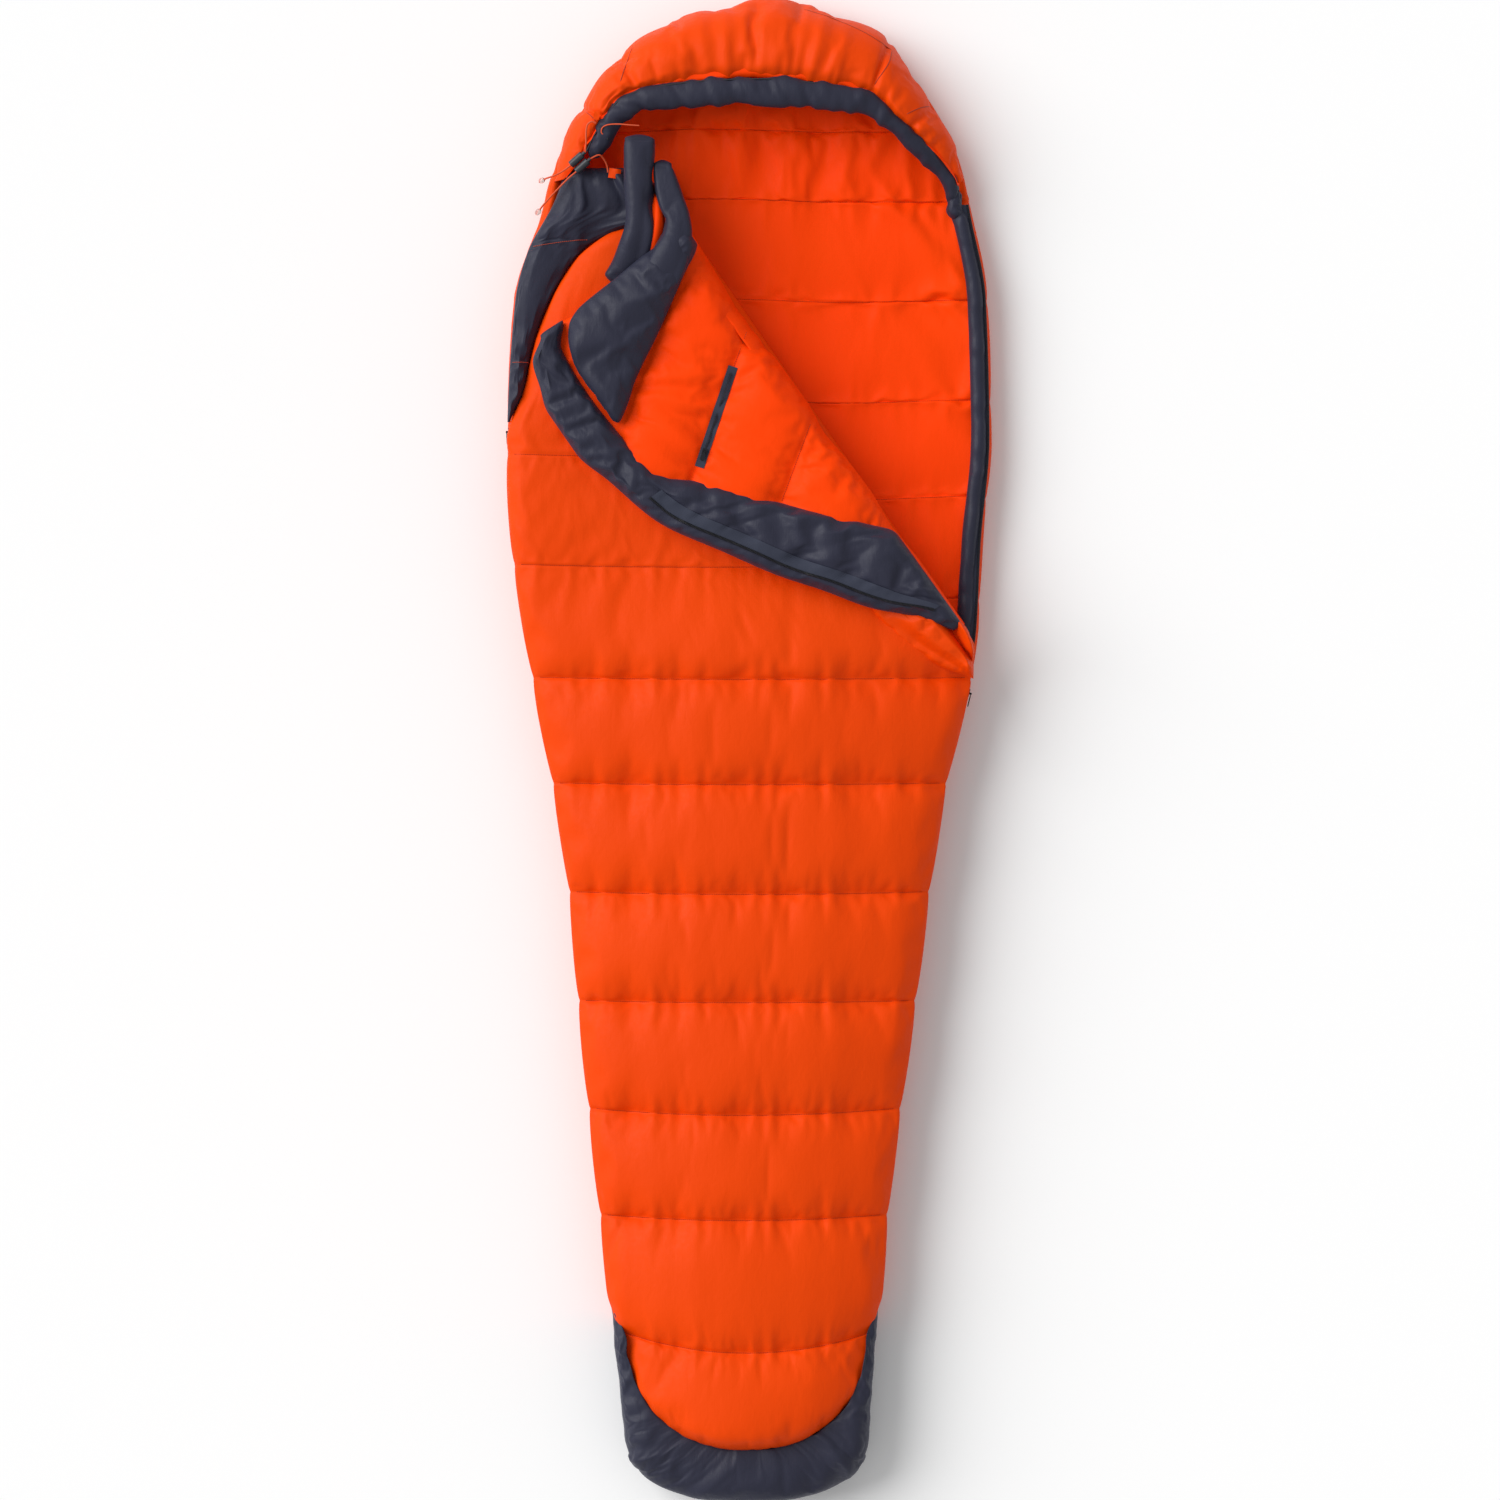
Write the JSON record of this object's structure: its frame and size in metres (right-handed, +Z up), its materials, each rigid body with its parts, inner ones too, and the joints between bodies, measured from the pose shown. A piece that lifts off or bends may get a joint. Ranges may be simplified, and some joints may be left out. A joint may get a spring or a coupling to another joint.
{
  "type": "mummy sleeping bag",
  "caption": "Padded mummy sleeping bag with a shaped hood, foot box, side zip, draft collar and a top quilt whose corner folds back.",
  "frame": {"origin": "centre of the bounding box's bottom, on the ground under the bag", "axes": "+Y from the feet to the hood, +Z up out of the open front, +X towards the main zip"},
  "size_m": [0.6971, 2.15, 0.165],
  "materials": {
    "shell_orange": "satin",
    "liner_orange": "satin",
    "shell_navy": "satin",
    "wadding": "matte",
    "zip_tape": "matte",
    "zip_coil": "satin",
    "slider_metal": "satin",
    "lock_plastic": "satin",
    "spring_steel": "satin",
    "cord": "matte",
    "clear_bead": "gloss"
  },
  "bodies": {
    "bag": {"back_shell": "shell_orange", "back_fill": "wadding", "back_liner": "liner_orange", "top_shell": "shell_orange", "top_fill": "wadding", "top_liner": "liner_orange", "shoulder_panel": "shell_navy", "left_gusset": "shell_orange", "foot_box": "shell_navy", "hood_shell": "shell_orange", "hood_fill": "wadding", "hood_liner": "liner_orange", "hood_face_band": "shell_navy", "collar_roll": "shell_navy", "zip_guard": "shell_navy", "back_zip_tape": "zip_tape", "back_zip_teeth": "zip_coil", "closed_zip_tape": "zip_tape", "closed_zip_teeth": "zip_coil", "zip_bottom_stop": "slider_metal", "left_zip_tape": "zip_tape", "left_zip_teeth": "zip_coil", "hood_lock_barrel": "lock_plastic", "hood_lock_spring": "spring_steel", "collar_lock_barrel": "lock_plastic", "collar_lock_spring": "spring_steel", "hood_cord": "cord", "collar_cord": "cord", "neck_cord": "cord", "hood_cord_bead": "clear_bead", "collar_cord_bead": "clear_bead", "neck_cord_tip": "lock_plastic", "hood_cord_tab": "shell_orange", "collar_cord_tab": "shell_orange"},
    "flap": {"flap_shell": "shell_orange", "flap_fill": "wadding", "flap_liner": "liner_orange", "flap_draft_tube": "shell_navy", "draft_collar": "shell_navy", "flap_zip_tape": "zip_tape", "flap_zip_teeth": "zip_coil", "pocket_zip_tape": "zip_tape", "pocket_zip_teeth": "zip_coil"},
    "main_slider_body": {"main_slider": "slider_metal"},
    "main_pull_body": {"main_pull": "slider_metal"},
    "left_slider_body": {"left_slider": "slider_metal"},
    "left_pull_body": {"left_pull": "slider_metal"},
    "pocket_slider_body": {"pocket_slider": "slider_metal"},
    "pocket_pull_body": {"pocket_pull": "slider_metal"},
    "hood_plunger_body": {"hood_plunger": "lock_plastic"},
    "collar_plunger_body": {"collar_plunger": "lock_plastic"}
  },
  "joints": [
    {"name": "flap_fold", "type": "hinge", "parent": "bag", "child": "flap", "pos_m": [-0.084, 0.7474, 0.1095], "axis": [-0.5707, 0.8211, 0], "range_deg": [0, 178]},
    {"name": "main_zip_slide", "type": "slide", "parent": "bag", "child": "main_slider_body", "axis": [-0.241, -0.9705, 0], "range_m": [0, 0.095]},
    {"name": "main_pull_swing", "type": "hinge", "parent": "main_slider_body", "child": "main_pull_body", "pos_m": [0.3197, 0.08158, 0.057], "axis": [0, 0, 1], "range_deg": [0, 180]},
    {"name": "left_zip_slide", "type": "slide", "parent": "bag", "child": "left_slider_body", "axis": [0.0391, -0.9992, 0], "range_m": [0, 0.145]},
    {"name": "left_pull_swing", "type": "hinge", "parent": "left_slider_body", "child": "left_pull_body", "pos_m": [-0.34758, 0.45778, 0.057], "axis": [0, 0, -1], "range_deg": [0, 180]},
    {"name": "pocket_zip_slide", "type": "slide", "parent": "flap", "child": "pocket_slider_body", "axis": [0.3187, 0.9479, 0], "range_m": [-0.012, 0.11]},
    {"name": "pocket_pull_swing", "type": "hinge", "parent": "pocket_slider_body", "child": "pocket_pull_body", "pos_m": [-0.06259, 0.42655, 0.1475], "axis": [-0.9479, 0.3187, 0], "range_deg": [0, 180]},
    {"name": "hood_lock_press", "type": "slide", "parent": "bag", "child": "hood_plunger_body", "axis": [-0.7402, -0.6431, -0.1961], "range_m": [0, 0.0025], "stiffness_N_per_m": 300, "deforming": ["hood_lock_spring"]},
    {"name": "collar_lock_press", "type": "slide", "parent": "bag", "child": "collar_plunger_body", "axis": [-0.7402, -0.6431, -0.1961], "range_m": [0, 0.0025], "stiffness_N_per_m": 300, "deforming": ["collar_lock_spring"]}
  ]
}
